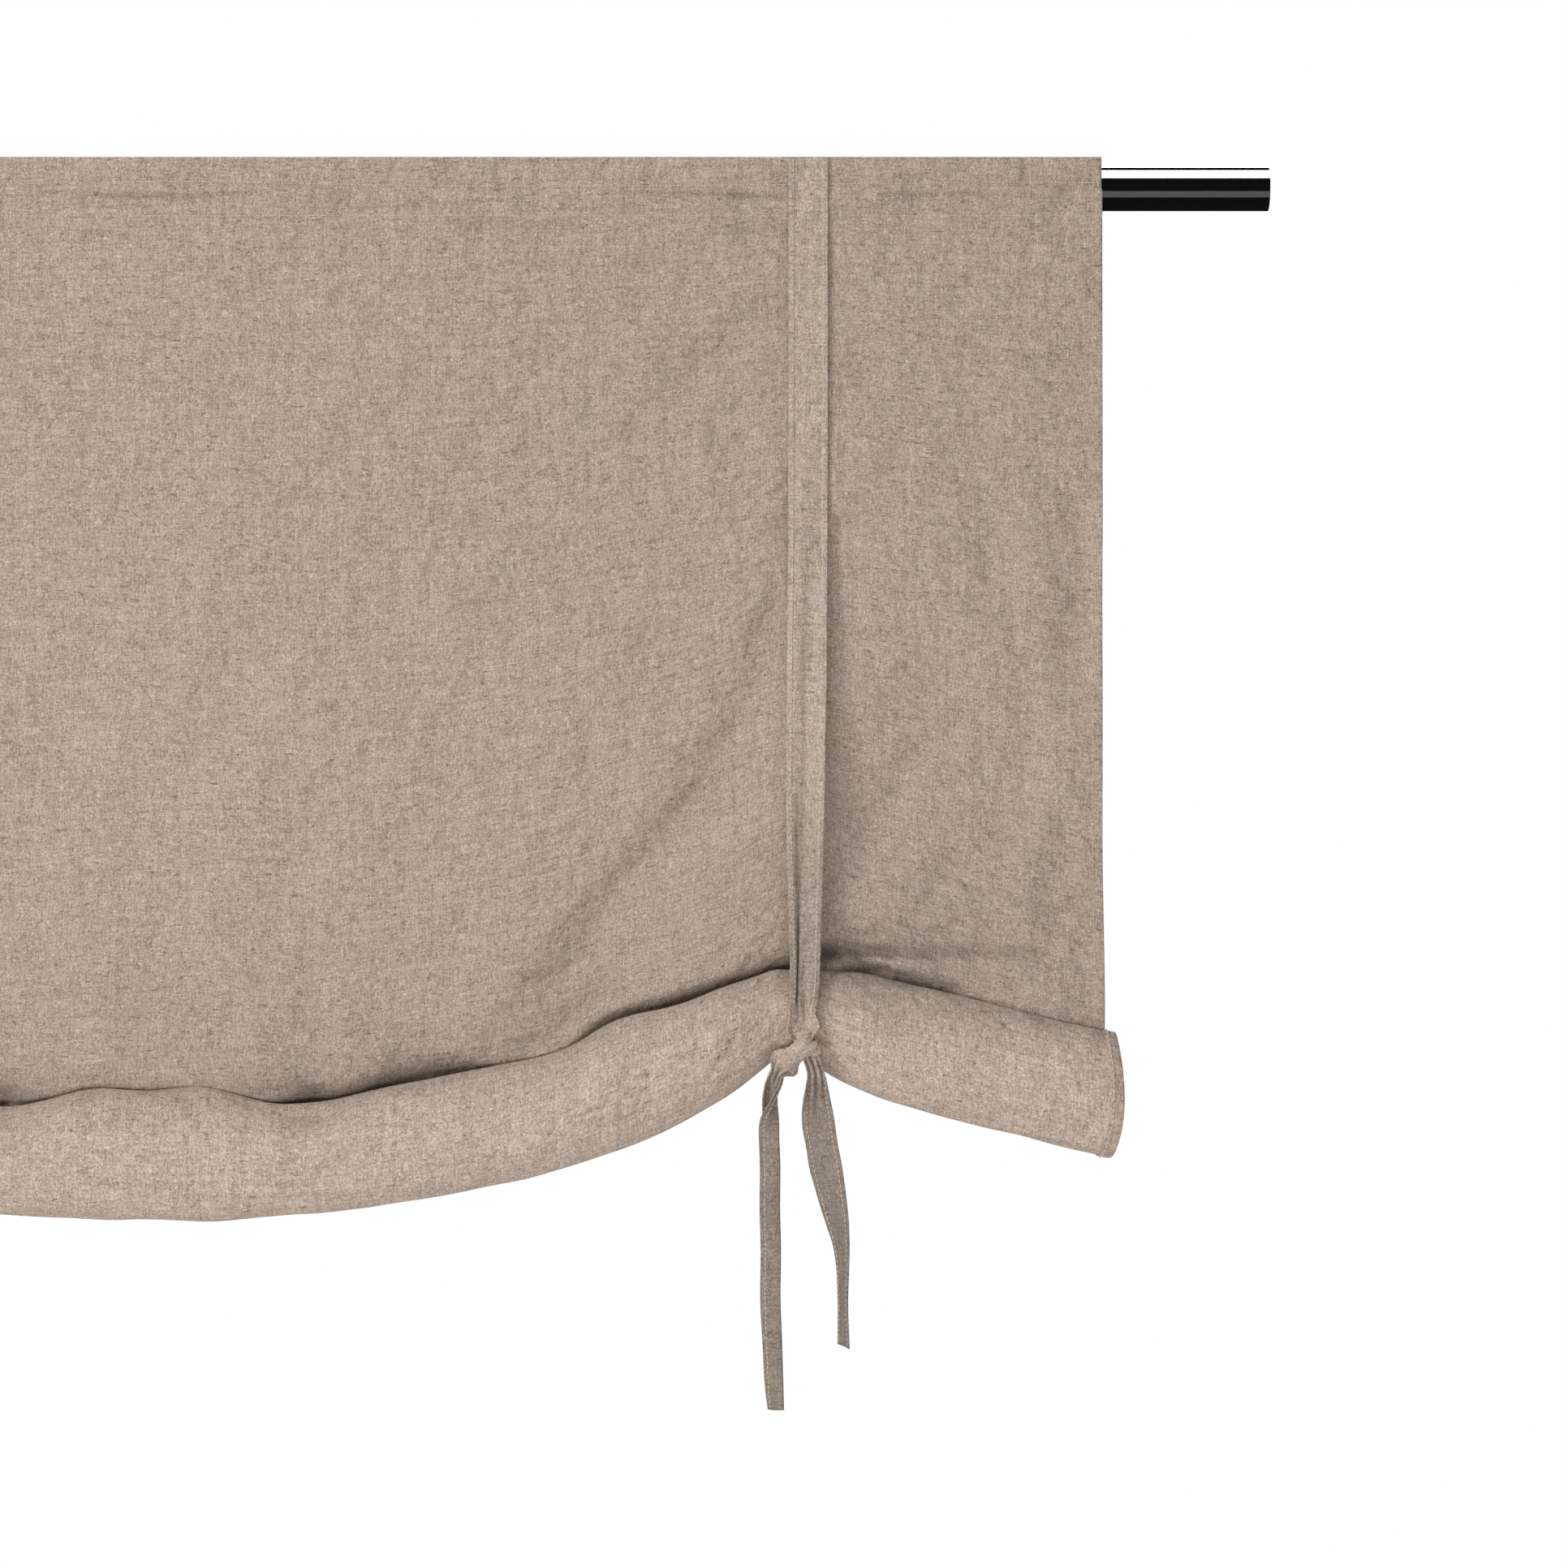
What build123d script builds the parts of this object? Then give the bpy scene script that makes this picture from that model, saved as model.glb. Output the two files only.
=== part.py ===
from build123d import *
import os
from math import acos, atan2, cos, exp, hypot, pi, radians, sin

# Tie-up linen blind on a round steel curtain rod, rolled up from the bottom and held by two pairs of ties.
# Millimetres. +Z is up, +X runs along the rod and the front of the blind faces -Y.
# The origin is on the rod's axis, half way along the blind. Heights under it are given as drops.

# Cloth
blind_width = 1200.0
cloth_thickness = 0.8
header_height = 18.5  # the top edge stands this far above the rod's axis
top_hem_depth = 20.0  # turned over to the back
side_hem_width = 8.0
side_hem_bite = 0.2  # a turned side hem shares this much of its thickness with the sheet
side_hem_press = 0.1  # and lies this much under the back of the top hem
seam_gap = 0.05  # between two cloths that are sewn together

# Curtain rod
rod_diameter = 28.0
rod_wall = 1.0
rod_overhang = 107.5  # past each side edge of the blind

# Casing on the back of the heading, round the rod
casing_clearance = 0.3
casing_foot = 20.6  # drop of its lower edge
casing_seam = 3.6
casing_setback = 1.5  # its ends lie this far inside the side hems

# The rolled bottom
blind_drop = 656.0  # down to the roll's lowest line, in the middle of the blind
scallop_rise = 105.0  # the ties lift that line by this much
side_fall = 66.5  # and it hangs this far under the ties at the side edges
roll_height = 77.0
roll_height_tied = 57.0
roll_depth = 44.0
roll_depth_tied = 32.0
roll_pitch = 5.0  # from one turn to the next
roll_turns = 2.75
pinch_reach = 30.0  # how far from a tie the roll is back at its full size
middle_power = 2.5  # shape of the long scallop
side_power = 0.5  # shape of the short one

# Ties
tie_inset = 190.6  # from the side edge of the blind
tie_groove = 16.0  # width that the back tie pulls level under the roll
tie_width = 25.0
tie_thickness = 1.0
tie_gap = 1.2
tie_lean = 4.6  # a ribbon is sewn on this far outside its knot
back_tie_seam = 12.0
fold_start = 0.55  # the front ribbon narrows from this share of the way down to the roll
folded_width = 17.0  # folded lengthwise above the knot
folded_width_low = 14.0
narrowing_start = 60.0  # the back ribbon narrows from this far above the roll's centre
narrowing_end = 8.0
squeezed_width = 13.0  # under the roll
under_turns = [0.06, 0.12, 0.18]  # its stations on the way to the roll's foot, in turns of the spiral
rising_turns = [0.25, 0.32]  # and from there on
knot_offset = 6.0  # the front ribbon enters the knot this far outside tie_place
knot_rise = 10.0  # middle of the knot above the roll's lowest line
knot_reach = 9.0  # the front ribbon is squeezed from this far above the knot's middle
knot_exit = 13.5  # to this far below it
knot_width = 7.0
knot_thickness = 2.2
band_width = 11.0  # the back ribbon where it crosses the knot
band_end_width = 7.0
band_thickness = 1.8
band_clearance = 2.64  # beside the front ribbon, where the back ribbon turns round it
band_slope = 36.0  # degrees, down towards the middle of the blind
band_length = 31.0
tail_thickness = 1.2

# A tail's stations: drop under the tied roll, place outside tie_place, width, turn of the ribbon in degrees
front_tail = [
    (20, 10, 11, 0),
    (39, 10.6, 18, 8),
    (69, 15.7, 20, 8),
    (106, 23.2, 18, 38),
    (131, 26.6, 17, 58),
    (156, 26.8, 17, 68),
    (183, 27.5, 17, 65),
]
back_tail = [
    (15, -15.5, 5, 0),
    (26, -17.8, 11, 15),
    (49, -19.0, 15, 20),
    (89, -18.0, 15, 25),
    (139, -18.6, 15, 35),
    (179, -17.0, 14, 40),
    (226, -14.5, 13, 45),
]

# Worked out from the sizes above
rod_radius = rod_diameter / 2
half_width = blind_width / 2
tie_place = half_width - tie_inset
tied_drop = blind_drop - scallop_rise
panel_front = -(rod_radius + casing_clearance + 2 * cloth_thickness)
panel_back = panel_front + cloth_thickness
hem_back = panel_back + cloth_thickness
panel_middle = (panel_front + panel_back) / 2
hem_end = header_height - top_hem_depth
groove_inside = tie_place - tie_groove / 2
groove_outside = tie_place + tie_groove / 2


def pinched(x):
    """1 in a tie's groove, falling to 0 where the roll has its full size."""
    away = max(groove_inside - abs(x), abs(x) - groove_outside, 0)
    return exp(-((away / pinch_reach) ** 2))


def underside(x):
    """Height of the roll's lowest line at x."""
    place = abs(x)
    if place <= groove_inside:
        share = 1 - (place / groove_inside) ** middle_power
        return -tied_drop - scallop_rise * share
    share = max(place - groove_outside, 0) / (half_width - groove_outside)
    return -tied_drop - side_fall * share**side_power


def roll_size(x):
    """Centre height, half height and half depth of the sheet's middle line in the first turn at x."""
    height = roll_height - (roll_height - roll_height_tied) * pinched(x)
    depth = roll_depth - (roll_depth - roll_depth_tied) * pinched(x)
    half_height = (height + roll_pitch - cloth_thickness) / 2
    half_depth = (depth + roll_pitch / 2 - cloth_thickness) / 2
    centre = underside(x) + half_height - roll_pitch / 4 + cloth_thickness / 2
    return centre, half_height, half_depth


def roll_point(x, turn, reach):
    """A point of the spiral, as Y and Z: its middle line after some turns, moved outwards by reach."""
    centre, half_height, half_depth = roll_size(x)
    angle = 2 * pi * turn
    a = half_height - roll_pitch * turn
    b = half_depth - roll_pitch * turn
    loss = roll_pitch / (2 * pi)
    run_y = -b * sin(angle) - loss * cos(angle)
    run_z = -a * cos(angle) + loss * sin(angle)
    length = hypot(run_y, run_z)
    y = panel_middle - half_depth + b * cos(angle) - run_z / length * reach
    z = centre - a * sin(angle) + run_y / length * reach
    return y, z


def spiral(x, reach):
    """Points of the spiral for arcs of a quarter turn, each centred on the roll's top, front, foot or back."""
    count = round(4 * roll_turns)
    turns = [0, 1 / 16] + [1 / 8 + i / 8 for i in range(2 * count - 1)]
    return [roll_point(x, turn, reach) for turn in turns]


def roll_lines(inner, outer):
    """The rolled strip's two faces and its end, drawn from inner[0] round to outer[0]."""
    for i in range(0, len(inner) - 1, 2):
        ThreePointArc(inner[i], inner[i + 1], inner[i + 2])
    Line(inner[-1], outer[-1])
    for i in range(len(outer) - 1, 0, -2):
        ThreePointArc(outer[i], outer[i - 1], outer[i - 2])


# The sheet, one closed section at each station, from the turned top hem down the front and into the roll
half_stations = [groove_inside * share for share in (0.35, 0.6, 0.78, 0.91, 1)]
half_stations += [groove_outside + pinch_reach * share for share in (0, 0.35, 1.4)]
half_stations.append(half_width)
stations = [-x for x in reversed(half_stations)] + [0] + half_stations
bend = header_height - cloth_thickness
with BuildPart() as panel:
    for x in stations:
        inner = spiral(x, -cloth_thickness / 2)
        outer = spiral(x, cloth_thickness / 2)
        centre = roll_size(x)[0]
        inner[0] = (panel_front, centre)
        outer[0] = (panel_back, centre)
        with BuildSketch(Plane.YZ.offset(x)):
            with BuildLine():
                Line((hem_back, hem_end), (hem_back, bend))
                ThreePointArc((hem_back, bend), (panel_back, header_height), (panel_front, bend))
                Line((panel_front, bend), inner[0])
                roll_lines(inner, outer)
                Line(outer[0], (panel_back, hem_end))
                Line((panel_back, hem_end), (hem_back, hem_end))
            make_face()
    loft(ruled=True)
    # Side hems, turned to the back, from the top hem down to where the sheet starts to curl
    side_hem_top = hem_end + cloth_thickness
    side_hem_foot = roll_size(half_width)[0] + roll_pitch
    with BuildSketch(Plane.XY.offset(side_hem_foot)):
        for side in (-1, 1):
            with Locations((side * (half_width - side_hem_width / 2), panel_back - side_hem_bite)):
                thickness = cloth_thickness + side_hem_bite - side_hem_press
                Rectangle(side_hem_width, thickness, align=(Align.CENTER, Align.MIN))
    extrude(amount=side_hem_top - side_hem_foot)
panel.part.label = "blind_panel"


def tangent_point(start, radius, way):
    """Where a straight line from start touches a circle round the origin. way is 1 or -1."""
    angle = atan2(start[1], start[0]) + way * acos(radius / hypot(*start))
    return radius * cos(angle), radius * sin(angle)


# Casing: sewn flat at the top, over the rod, down its back and sewn flat again under it
casing_radius = rod_radius + casing_clearance + cloth_thickness / 2
casing_top = (hem_back + seam_gap + cloth_thickness / 2, bend)
casing_leaves = (casing_top[0], bend - casing_seam)
casing_returns = (panel_back + seam_gap + cloth_thickness / 2, casing_seam - casing_foot)
casing_length = blind_width - 2 * (side_hem_width + casing_setback)
with BuildPart() as casing:
    with BuildSketch(Plane.YZ):
        with BuildLine():
            over = tangent_point(casing_leaves, casing_radius, -1)
            under = tangent_point(casing_returns, casing_radius, 1)
            Polyline(casing_top, casing_leaves, over)
            ThreePointArc(over, (casing_radius, 0), under)
            Polyline(under, casing_returns, (casing_returns[0], -casing_foot))
        trace(line_width=cloth_thickness)
    extrude(amount=casing_length / 2, both=True)
casing.part.label = "rod_casing"

# Rod: a plain tube with open ends
rod_length = blind_width + 2 * rod_overhang
with BuildPart() as rod:
    with BuildSketch(Plane.YZ):
        Circle(rod_radius)
        Circle(rod_radius - rod_wall, mode=Mode.SUBTRACT)
    extrude(amount=rod_length / 2, both=True)
rod.part.label = "curtain_rod"


def ribbon(sections):
    """A ribbon through sections, each a centre, the way it runs, the way its width lies, width, thickness."""
    outlines = []
    for at, along, across, width, thickness in sections:
        with BuildSketch(Plane(origin=at, x_dir=across, z_dir=along)) as outline:
            Rectangle(width, thickness)
        outlines.append(outline.sketch)
    loft(outlines, ruled=True)


def tail_sections(tail):
    """The hanging end of a ribbon, turned about its own length."""
    return [
        (
            (tie_place + outside, tail_y, -tied_drop - drop),
            (0, 0, -1),
            (cos(radians(turn)), sin(radians(turn)), 0),
            width,
            tail_thickness,
        )
        for drop, outside, width, turn in tail
    ]


# Layers of the knot, from the roll's skin forwards: back ribbon, front ribbon, back ribbon again
knot_height = knot_rise - tied_drop
roll_front = roll_point(tie_place, 0.5, cloth_thickness / 2)[0]
rising_y = roll_front - tie_gap - band_thickness / 2
front_y = rising_y - tie_gap - (band_thickness + knot_thickness) / 2
crossing_y = front_y - tie_gap - (band_thickness + knot_thickness) / 2
tail_y = front_y + tie_gap
knot_x = tie_place + knot_offset
roll_centre = roll_size(tie_place)[0]
down = (0, 0, -1)
sideways = (1, 0, 0)

# Front tie: sewn flat to the heading, straight down to the roll, through the knot and out as a tail
front_seam_y = panel_front - seam_gap - tie_thickness / 2
ribbon_x = tie_place + tie_lean
with BuildPart() as front_tie:
    with BuildSketch(Plane.XY.offset(hem_end)):
        with Locations((ribbon_x, front_seam_y)):
            Rectangle(tie_width, tie_thickness)
    extrude(amount=bend - hem_end)
    fold_z = hem_end + (roll_centre - hem_end) * fold_start
    fold_y = front_seam_y + (rising_y - front_seam_y) * fold_start
    above = roll_centre + roll_height_tied / 2
    ribbon(
        [
            ((ribbon_x, front_seam_y, hem_end), down, sideways, tie_width, tie_thickness),
            ((ribbon_x, fold_y, fold_z), down, sideways, tie_width, tie_thickness),
            ((ribbon_x, rising_y, above), down, sideways, folded_width, tie_thickness),
            ((ribbon_x, rising_y, roll_centre), down, sideways, folded_width_low, tie_thickness),
            ((knot_x, front_y, knot_height + knot_reach), down, sideways, knot_width, knot_thickness),
            ((knot_x, front_y, knot_height - knot_exit), down, sideways, knot_width, knot_thickness),
        ]
        + tail_sections(front_tail)
    )
front_tie.part.label = "right_front_tie"

# Back tie: sewn under the casing, down behind the panel, under the roll, up behind the front tie,
# round its outer edge, slanting down across its front and out as a tail
back_seam_y = panel_back + seam_gap + tie_thickness / 2
back_seam_top = -casing_foot - tie_gap
back_seam_foot = back_seam_top - back_tie_seam
wrap = cloth_thickness / 2 + tie_gap + tie_thickness / 2
slope = radians(band_slope)
hairpin_radius = (rising_y - crossing_y) / 2
hairpin_x = knot_x + knot_width / 2 + band_clearance + band_thickness / 2 - hairpin_radius
hairpin_z = knot_height + knot_rise / 5


def under_section(turn):
    """The back ribbon round the foot of the roll."""
    y, z = roll_point(tie_place, turn, wrap)
    ahead_y, ahead_z = roll_point(tie_place, turn + 0.01, wrap)
    return (tie_place, y, z), (0, ahead_y - y, ahead_z - z), sideways, squeezed_width, tie_thickness


with BuildPart() as back_tie:
    with BuildSketch(Plane.XY.offset(back_seam_foot)):
        with Locations((ribbon_x, back_seam_y)):
            Rectangle(tie_width, tie_thickness)
    extrude(amount=back_tie_seam)
    back_y = panel_middle + wrap
    falling = [
        ((ribbon_x, back_seam_y, back_seam_foot), down, sideways, tie_width, tie_thickness),
        ((ribbon_x, back_y, roll_centre + narrowing_start), down, sideways, tie_width, tie_thickness),
        ((tie_place, back_y, roll_centre + narrowing_end), down, sideways, squeezed_width, tie_thickness),
    ]
    falling += [under_section(turn) for turn in under_turns]
    # It is lofted in two runs that share a section, since one loft can't turn round so far
    ribbon(falling)
    sections = falling[-1:] + [under_section(turn) for turn in rising_turns]
    turning_up = ((tie_place + knot_x) / 2, rising_y, knot_height - knot_reach / 2)
    sections.append((turning_up, (0.5, -0.3, 0.8), (0.9, 0, -0.4), band_width, band_thickness))
    for turn in range(0, 181, 60):
        angle = radians(turn)
        tilt = slope * abs(cos(angle))
        at = (
            hairpin_x + hairpin_radius * sin(angle),
            (rising_y + crossing_y) / 2 + hairpin_radius * cos(angle),
            hairpin_z,
        )
        run = (cos(angle) * cos(tilt), -sin(angle), cos(angle) * sin(tilt))
        sections.append((at, run, (sin(tilt), 0, -cos(tilt)), band_width, band_thickness))
    for share, width in ((0.5, band_width), (0.9, band_end_width)):
        at = (
            hairpin_x - share * band_length * cos(slope),
            crossing_y,
            hairpin_z - share * band_length * sin(slope),
        )
        run = (-cos(slope), 0, -sin(slope))
        sections.append((at, run, (sin(slope), 0, -cos(slope)), width, band_thickness))
    ribbon(sections + tail_sections(back_tail))
back_tie.part.label = "right_back_tie"

os.makedirs("parts", exist_ok=True)
export_step(panel.part, "parts/blind_panel.step")
export_step(casing.part, "parts/rod_casing.step")
export_step(rod.part, "parts/curtain_rod.step")
export_step(front_tie.part, "parts/right_front_tie.step")
export_step(back_tie.part, "parts/right_back_tie.step")

# The other pair of ties is their mirror image
for right, name in ((front_tie, "left_front_tie"), (back_tie, "left_back_tie")):
    with BuildPart() as left:
        add(right.part)
        mirror(about=Plane.YZ, mode=Mode.REPLACE)
    left.part.label = name
    export_step(left.part, f"parts/{name}.step")
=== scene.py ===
import bpy
import numpy as np
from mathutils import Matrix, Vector


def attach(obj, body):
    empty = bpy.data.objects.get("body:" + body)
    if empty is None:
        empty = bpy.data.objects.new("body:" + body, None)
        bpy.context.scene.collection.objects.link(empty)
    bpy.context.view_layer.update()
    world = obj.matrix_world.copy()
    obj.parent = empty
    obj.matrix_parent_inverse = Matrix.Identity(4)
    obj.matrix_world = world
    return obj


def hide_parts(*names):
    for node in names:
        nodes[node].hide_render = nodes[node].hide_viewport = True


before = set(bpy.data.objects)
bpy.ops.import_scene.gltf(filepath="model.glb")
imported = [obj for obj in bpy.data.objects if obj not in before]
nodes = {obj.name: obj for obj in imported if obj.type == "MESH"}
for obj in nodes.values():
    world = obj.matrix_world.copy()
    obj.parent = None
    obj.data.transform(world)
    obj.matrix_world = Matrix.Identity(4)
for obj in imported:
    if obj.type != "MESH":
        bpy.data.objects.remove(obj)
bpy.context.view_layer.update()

# A tie-up linen blind on a black curtain rod. The shapes are worked out in millimetres:
# x along the rod, y towards the back, z up, with the rod's axis at 0.
mm = 0.001


def say(news):
    print("scene: " + news)


def smooth(low, high, x):  # 0 below low, 1 above high, an S between them
    t = np.clip((x - low) / (high - low), 0, 1)
    return t * t * (3 - 2 * t)


def bump(x, middle, reach):  # a bell of height 1
    return np.exp(-(((x - middle) / reach) ** 2))


def through(points, x):  # a smooth curve (cubic Hermite) through rows of x, value, value, ...
    table = np.array(points, float)
    xs = table[:, 0]
    ys = table[:, 1:]
    slopes = np.gradient(ys, xs, axis=0)
    x = np.asarray(x, float)
    i = np.clip(np.searchsorted(xs, x) - 1, 0, len(xs) - 2)
    h = xs[i + 1] - xs[i]
    t = np.clip((x - xs[i]) / h, 0, 1)[..., None]
    h = h[..., None]
    value = (2 * t**3 - 3 * t**2 + 1) * ys[i] + (t**3 - 2 * t**2 + t) * h * slopes[i]
    value += (3 * t**2 - 2 * t**3) * ys[i + 1] + (t**3 - t**2) * h * slopes[i + 1]
    return value[..., 0] if ys.shape[1] == 1 else value


def waves(row, x, z):
    # height times a sum of sine waves, about -1 to 1, in directions that are drawn at random.
    # row: height, seed, share of z that counts, number, range of lengths, range of directions
    height, seed, share, count, spans, turns = row
    z = z * share
    rng = np.random.default_rng(seed)
    total = np.zeros(np.broadcast(x, z).shape)
    for i in range(count):
        span = rng.uniform(*spans)
        angle = np.radians(rng.uniform(*turns))
        phase = rng.uniform(0, 2 * np.pi)
        total += np.sin(2 * np.pi * (x * np.cos(angle) + z * np.sin(angle)) / span + phase)
    return height * (total / np.sqrt(count))


def unit(v):
    return v / np.maximum(np.linalg.norm(v, axis=-1, keepdims=True), 1e-9)


def meshPiece(name, points, faces, uvs, materials, replaced=(), thickness=0.0, shade=1.0):
    # points in mm, faces as rows of 4 point numbers, uvs in metres at the points,
    # shade = painted shade at each point, from 0, black, to 1; the linen's colour is multiplied
    # by it
    mesh = bpy.data.meshes.new(name)
    mesh.from_pydata((points * mm).tolist(), [], faces.tolist())
    layer = mesh.uv_layers.new(name="cloth")
    corner = np.zeros(len(mesh.loops), int)
    mesh.loops.foreach_get("vertex_index", corner)
    layer.data.foreach_set("uv", uvs[corner].astype(np.float32).ravel())
    mesh.polygons.foreach_set("use_smooth", np.ones(len(mesh.polygons), bool))
    paintedShadeLayer = mesh.color_attributes.new("shade", "FLOAT_COLOR", "POINT")
    rows = np.ones((len(points), 4), np.float32)
    rows[:, :3] = np.reshape(shade, (-1, 1))
    paintedShadeLayer.data.foreach_set("color", rows.ravel())
    for material in materials:
        mesh.materials.append(material)
    mesh.update()
    piece = bpy.data.objects.new(name, mesh)
    bpy.context.scene.collection.objects.link(piece)
    if thickness:
        solid = piece.modifiers.new("thickness", "SOLIDIFY")
        solid.thickness = thickness * mm
        solid.offset = 0
        solid.material_offset = len(materials) - 1  # the other face takes the last material
        solid.material_offset_rim = 0
    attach(piece, "root")
    if replaced:
        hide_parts(*replaced)
    say(f"{name}: {len(faces)} faces")
    return piece


def gridFaces(index):  # quads over a grid of point numbers
    corners = index[:-1, :-1], index[:-1, 1:], index[1:, 1:], index[1:, :-1]
    return np.stack(corners, -1).reshape(-1, 4)


def spaced(stops, counts):  # points of stretches that share their ends, without the last end
    stretches = zip(stops, stops[1:], counts)
    return np.concatenate([np.linspace(low, high, count)[:-1] for low, high, count in stretches])


def lengths(points):  # running length along the rows of a grid
    steps = np.linalg.norm(np.diff(points, axis=0), axis=-1)
    return np.concatenate([np.zeros((1,) + steps.shape[1:]), np.cumsum(steps, axis=0)])


cloth = {
    "thread": 0.0008,  # m, across one thread
    "contrast": 0.78,  # of the weave's tone
    "weaveBump": 0.55,
    "weaveDepth": 0.0004,  # m
    "crumpleScale": 50.0,  # wrinkles to the metre
    "crumpleDetail": 2.5,
    "crumpleRoughness": 0.55,
    "crumpleBump": 0.9,
    "crumpleDepth": 0.0078,  # m
    "roughness": 0.92,
    "specular": 0.15,
    "sheen": 0.1,
    "sheenRoughness": 0.6,
    # noises: periods to a thread's width across and along, detail, seed
    "grain": (0.75, 0.75, 1.0, 1.7),
    "warp": (0.8, 0.11, 1.0, 5.1),
    "weft": (0.09, 0.8, 1.0, 9.4),
    "streaks": ((0.2, 0.012, 1.0, 13.9), (0.012, 0.2, 1.0, 17.1)),
    "flecks": (0.5, 0.34, 0.0, 21.3),
    "slubs": (0.16, 0.5, 0.0, 27.7),
    "dye": (0.12, 0.1, 1.0, 33.3),
    "fleckLimit": (0.21, 6.0),  # what stands above it counts so many times
    "slubLimit": (0.22, 5.0),
    "grainTone": 1.9,
    "tones": (0.85, 0.75, 0.36, 1.0, -1.0),  # of warp, weft, streaks, flecks and slubs
    "warpWarmth": 0.6,
    "warmthContrast": 2.2,
    "grainHeight": 0.8,
}


def weaveGroup():
    # Linen, on the cloth's own flat coordinates in metres: grain, and slubs along both sets of
    # threads. Outputs a tone from 0 to 1, a warmth from 0 to 1 and a height about 0.
    group = bpy.data.node_groups.new("linen weave", "ShaderNodeTree")
    face = group.interface
    face.new_socket("Vector", in_out="INPUT", socket_type="NodeSocketVector")
    for name, value in (("Thread", cloth["thread"]), ("Contrast", 1.0)):
        socket = face.new_socket(name, in_out="INPUT", socket_type="NodeSocketFloat")
        socket.default_value = value
    for name in ("Tone", "Warmth", "Height"):
        face.new_socket(name, in_out="OUTPUT", socket_type="NodeSocketFloat")
    new, link = group.nodes.new, group.links.new
    start = new("NodeGroupInput").outputs
    end = new("NodeGroupOutput").inputs

    def maths(operation, a, b, clamp=False):
        node = new("ShaderNodeMath")
        node.operation = operation
        node.use_clamp = clamp
        for socket, value in zip(node.inputs, (a, b)):
            if isinstance(value, (int, float)):
                socket.default_value = value
            else:
                link(value, socket)
        return node.outputs[0]

    split = new("ShaderNodeSeparateXYZ")
    link(start["Vector"], split.inputs[0])
    across = maths("DIVIDE", split.outputs[0], start["Thread"])
    along = maths("DIVIDE", split.outputs[1], start["Thread"])

    # noise about 0, with so many periods to a thread's width across and along
    def noise(acrossShare, alongShare, detail, seed):
        joined = new("ShaderNodeCombineXYZ")
        link(maths("MULTIPLY", across, acrossShare), joined.inputs[0])
        link(maths("MULTIPLY", along, alongShare), joined.inputs[1])
        joined.inputs[2].default_value = seed
        node = new("ShaderNodeTexNoise")
        node.inputs["Scale"].default_value = 1.0
        node.inputs["Detail"].default_value = detail
        link(joined.outputs[0], node.inputs["Vector"])
        return maths("SUBTRACT", node.outputs[0], 0.5)

    def over(part, limit, weight):  # only what stands above the limit
        return maths("MULTIPLY", maths("SUBTRACT", part, limit, clamp=True), weight)

    grain, warp, weft = noise(*cloth["grain"]), noise(*cloth["warp"]), noise(*cloth["weft"])
    streaks = maths("ADD", *[noise(*row) for row in cloth["streaks"]])
    flecks = over(noise(*cloth["flecks"]), *cloth["fleckLimit"])
    slubs = over(noise(*cloth["slubs"]), *cloth["slubLimit"])
    tone = maths("MULTIPLY", grain, cloth["grainTone"])
    for part, weight in zip((warp, weft, streaks, flecks, slubs), cloth["tones"]):
        tone = maths("ADD", tone, maths("MULTIPLY", part, weight))
    link(maths("ADD", maths("MULTIPLY", tone, start["Contrast"]), 0.5, clamp=True), end["Tone"])
    warmth = maths("ADD", noise(*cloth["dye"]), maths("MULTIPLY", warp, cloth["warpWarmth"]))
    warmth = maths("MULTIPLY", warmth, cloth["warmthContrast"])
    link(maths("ADD", warmth, 0.5, clamp=True), end["Warmth"])
    fuzz = maths("MULTIPLY", grain, cloth["grainHeight"])
    link(maths("ADD", maths("ADD", warp, weft), fuzz), end["Height"])
    return group


weave = weaveGroup()


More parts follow.
